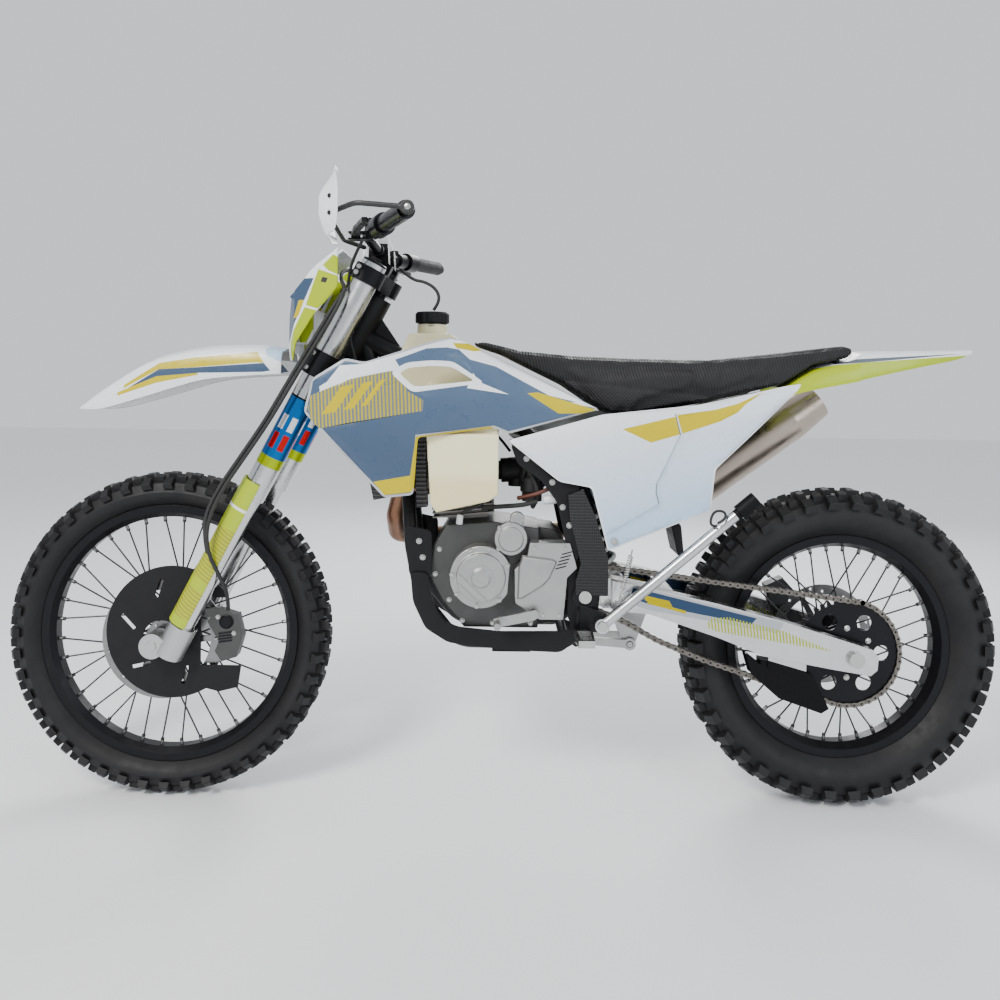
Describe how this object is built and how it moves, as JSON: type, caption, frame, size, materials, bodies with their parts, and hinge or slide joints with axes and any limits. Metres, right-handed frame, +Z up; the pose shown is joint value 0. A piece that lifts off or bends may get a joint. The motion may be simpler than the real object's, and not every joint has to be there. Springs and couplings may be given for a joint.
{
  "type": "off-road motorcycle",
  "caption": "Full-size off-road motorcycle with telescopic fork, linkage rear suspension, chain drive, spoked knobbly wheels and moulded bodywork, built as jointed subassemblies.",
  "frame": {"origin": "on the ground under the middle of the bounding box", "axes": "+Z up, +X towards the rear wheel, +Y towards the rider's right side, front wheel at -X"},
  "size_m": [2.1482, 0.82, 1.289],
  "materials": {
    "black_frame_paint": "satin black",
    "cast_aluminium": "die cast, satin",
    "dark_cast": "dark cast fins",
    "polished_aluminium": "brushed and polished",
    "black_aluminium": "black anodised",
    "steel": "zinc plated",
    "chain_steel": "dark oiled steel",
    "chrome": "hard chrome",
    "titanium": "heat tinted",
    "header_steel": "heat browned",
    "white_plastic": "gloss moulded",
    "shroud_plastic": "steel blue with pale edges",
    "lime_plastic": "bright lime",
    "tank_plastic": "translucent cream",
    "black_plastic": "fine textured",
    "red_plastic": "gloss",
    "seat_cover": "ribbed grip vinyl",
    "rubber": "moulded",
    "tyre_rubber": "knobbly tread",
    "spring_steel": "coated wire"
  },
  "bodies": {
    "frame": {"main_frame": "black_frame_paint", "subframe": "black_frame_paint", "crankcase": "cast_aluminium", "cylinder_and_head": "dark_cast", "flywheel_cover": "cast_aluminium", "sprocket_cover": "cast_aluminium", "starter_motor": "cast_aluminium", "intake": "black_plastic", "exhaust_header": "header_steel", "silencer": "titanium", "radiators": "black_aluminium", "fuel_tank": "tank_plastic", "seat": "seat_cover", "radiator_shrouds": "shroud_plastic", "side_panels": "white_plastic", "rear_fender": "lime_plastic", "frame_guards": "black_plastic", "frame_bolts": "steel"},
    "steering": {"triple_clamps": "black_aluminium", "fork_outer_tubes": "polished_aluminium", "handlebar": "black_aluminium", "hand_guards": "white_plastic", "control_perches": "black_aluminium", "headlight_mask": "lime_plastic", "front_fender": "white_plastic", "control_cables": "rubber", "front_brake_hose": "rubber"},
    "fork_lower": {"fork_inner_tubes": "chrome", "fork_guards": "lime_plastic", "front_caliper": "cast_aluminium", "disc_guard": "black_plastic"},
    "front_wheel": {"front_hub_and_spokes": "steel", "front_rim": "black_aluminium", "front_tyre": "tyre_rubber", "front_disc": "steel"},
    "throttle": {"throttle_grip": "rubber"},
    "clutch_lever": {"clutch_lever": "black_aluminium"},
    "front_brake_lever": {"front_brake_lever": "black_aluminium"},
    "start_button": {"start_button": "red_plastic"},
    "swingarm": {"swingarm": "polished_aluminium", "rear_axle": "steel", "rear_caliper": "black_aluminium", "drive_chain": "chain_steel"},
    "rear_wheel": {"rear_hub_and_spokes": "steel", "rear_rim": "black_aluminium", "rear_tyre": "tyre_rubber", "rear_sprocket": "black_aluminium", "rear_disc": "steel"},
    "front_sprocket": {"front_sprocket": "chain_steel"},
    "shock_body": {"shock_body": "black_aluminium", "shock_spring": "spring_steel"},
    "shock_shaft": {"shock_shaft": "chrome"},
    "rocker": {"rocker": "cast_aluminium"},
    "pull_rods": {"pull_rods": "polished_aluminium"},
    "kickstand": {"kickstand": "polished_aluminium", "kickstand_spring": "spring_steel"},
    "shift_lever": {"shift_lever": "steel"},
    "rear_brake_pedal": {"rear_brake_pedal": "steel"},
    "left_footpeg": {"left_footpeg": "steel"},
    "right_footpeg": {"right_footpeg": "steel"}
  },
  "joints": [
    {"name": "steering", "type": "hinge", "parent": "frame", "child": "steering", "pos_m": [-0.31409, 0, 1.02767], "axis": [0.4555, 0, 0.8902], "range_deg": [-36, 36], "deforming": ["control_cables"]},
    {"name": "fork_travel", "type": "slide", "parent": "steering", "child": "fork_lower", "axis": [0.4555, 0, 0.8902], "range_m": [0, 0.22], "stiffness_N_per_m": 9000, "springref_m": -0.02, "deforming": ["front_brake_hose"]},
    {"name": "front_wheel_spin", "type": "hinge", "parent": "fork_lower", "child": "front_wheel", "pos_m": [-0.724, 0, 0.35], "axis": [0, 1, 0], "continuous": true},
    {"name": "throttle_twist", "type": "hinge", "parent": "steering", "child": "throttle", "pos_m": [-0.20563, 0.333, 1.2047], "axis": [0.4156, 0.909, 0.0312], "range_deg": [0, 75], "stiffness_Nm_per_rad": 0.3},
    {"name": "clutch_lever_pull", "type": "hinge", "parent": "steering", "child": "clutch_lever", "pos_m": [-0.3, -0.205, 1.189], "axis": [0, 0, 1], "range_deg": [0, 12], "stiffness_Nm_per_rad": 6},
    {"name": "front_brake_lever_pull", "type": "hinge", "parent": "steering", "child": "front_brake_lever", "pos_m": [-0.3, 0.205, 1.189], "axis": [0, 0, -1], "range_deg": [0, 12], "stiffness_Nm_per_rad": 6},
    {"name": "start_button_press", "type": "slide", "parent": "steering", "child": "start_button", "axis": [-1, 0, 0], "range_m": [0, 0.002], "stiffness_N_per_m": 500},
    {"name": "rear_suspension", "type": "hinge", "parent": "frame", "child": "swingarm", "pos_m": [0.17, 0, 0.466], "axis": [0, -1, 0], "range_deg": [0, 18], "stiffness_Nm_per_rad": 3000, "springref_deg": -2.29, "deforming": ["drive_chain"]},
    {"name": "rear_wheel_spin", "type": "hinge", "parent": "swingarm", "child": "rear_wheel", "pos_m": [0.732, 0, 0.3422], "axis": [0, 1, 0], "continuous": true},
    {"name": "front_sprocket_spin", "type": "hinge", "parent": "frame", "child": "front_sprocket", "pos_m": [0.119, -0.072, 0.496], "axis": [0, 1, 0], "continuous": true},
    {"name": "shock_body_swing", "type": "hinge", "parent": "frame", "child": "shock_body", "pos_m": [0.16, 0, 0.69], "axis": [0, -1, 0], "range_deg": [0, 3.6]},
    {"name": "shock_stroke", "type": "slide", "parent": "shock_body", "child": "shock_shaft", "axis": [-0.3238, 0, 0.9461], "range_m": [0, 0.0485], "deforming": ["shock_spring"]},
    {"name": "rocker_swing", "type": "hinge", "parent": "swingarm", "child": "rocker", "pos_m": [0.312, 0, 0.432], "axis": [0, -1, 0], "range_deg": [-25, 0]},
    {"name": "pull_rod_swing", "type": "hinge", "parent": "frame", "child": "pull_rods", "pos_m": [0.165, 0, 0.35], "axis": [0, -1, 0], "range_deg": [0, 25.8]},
    {"name": "kickstand_fold", "type": "hinge", "parent": "frame", "child": "kickstand", "pos_m": [0.204, -0.143, 0.412], "axis": [0, 1, 0], "range_deg": [0, 118], "stiffness_Nm_per_rad": 3, "springref_deg": -40.11, "deforming": ["kickstand_spring"]},
    {"name": "gear_shift", "type": "hinge", "parent": "frame", "child": "shift_lever", "pos_m": [0.064, -0.148, 0.433], "axis": [0, 1, 0], "range_deg": [-10, 10], "stiffness_Nm_per_rad": 12},
    {"name": "rear_brake_press", "type": "hinge", "parent": "frame", "child": "rear_brake_pedal", "pos_m": [0.118, 0.13, 0.368], "axis": [0, -1, 0], "range_deg": [0, 12], "stiffness_Nm_per_rad": 12, "springref_deg": -11.46},
    {"name": "left_footpeg_fold", "type": "hinge", "parent": "frame", "child": "left_footpeg", "pos_m": [0.165, -0.145, 0.395], "axis": [-1, 0, 0], "range_deg": [0, 60], "stiffness_Nm_per_rad": 0.8, "springref_deg": -22.92},
    {"name": "right_footpeg_fold", "type": "hinge", "parent": "frame", "child": "right_footpeg", "pos_m": [0.165, 0.145, 0.395], "axis": [1, 0, 0], "range_deg": [0, 60], "stiffness_Nm_per_rad": 0.8, "springref_deg": -22.92}
  ],
  "couplings": [
    {"joint": "front_sprocket_spin", "follows": "rear_wheel_spin", "ratio": 3.3846},
    {"joint": "rocker_swing", "follows": "rear_suspension", "ratio": -1.3814},
    {"joint": "pull_rod_swing", "follows": "rear_suspension", "ratio": 1.4271},
    {"joint": "shock_body_swing", "follows": "rear_suspension", "ratio": 0.1978},
    {"joint": "shock_stroke", "follows": "rear_suspension", "m_per_rad": 0.1542}
  ]
}
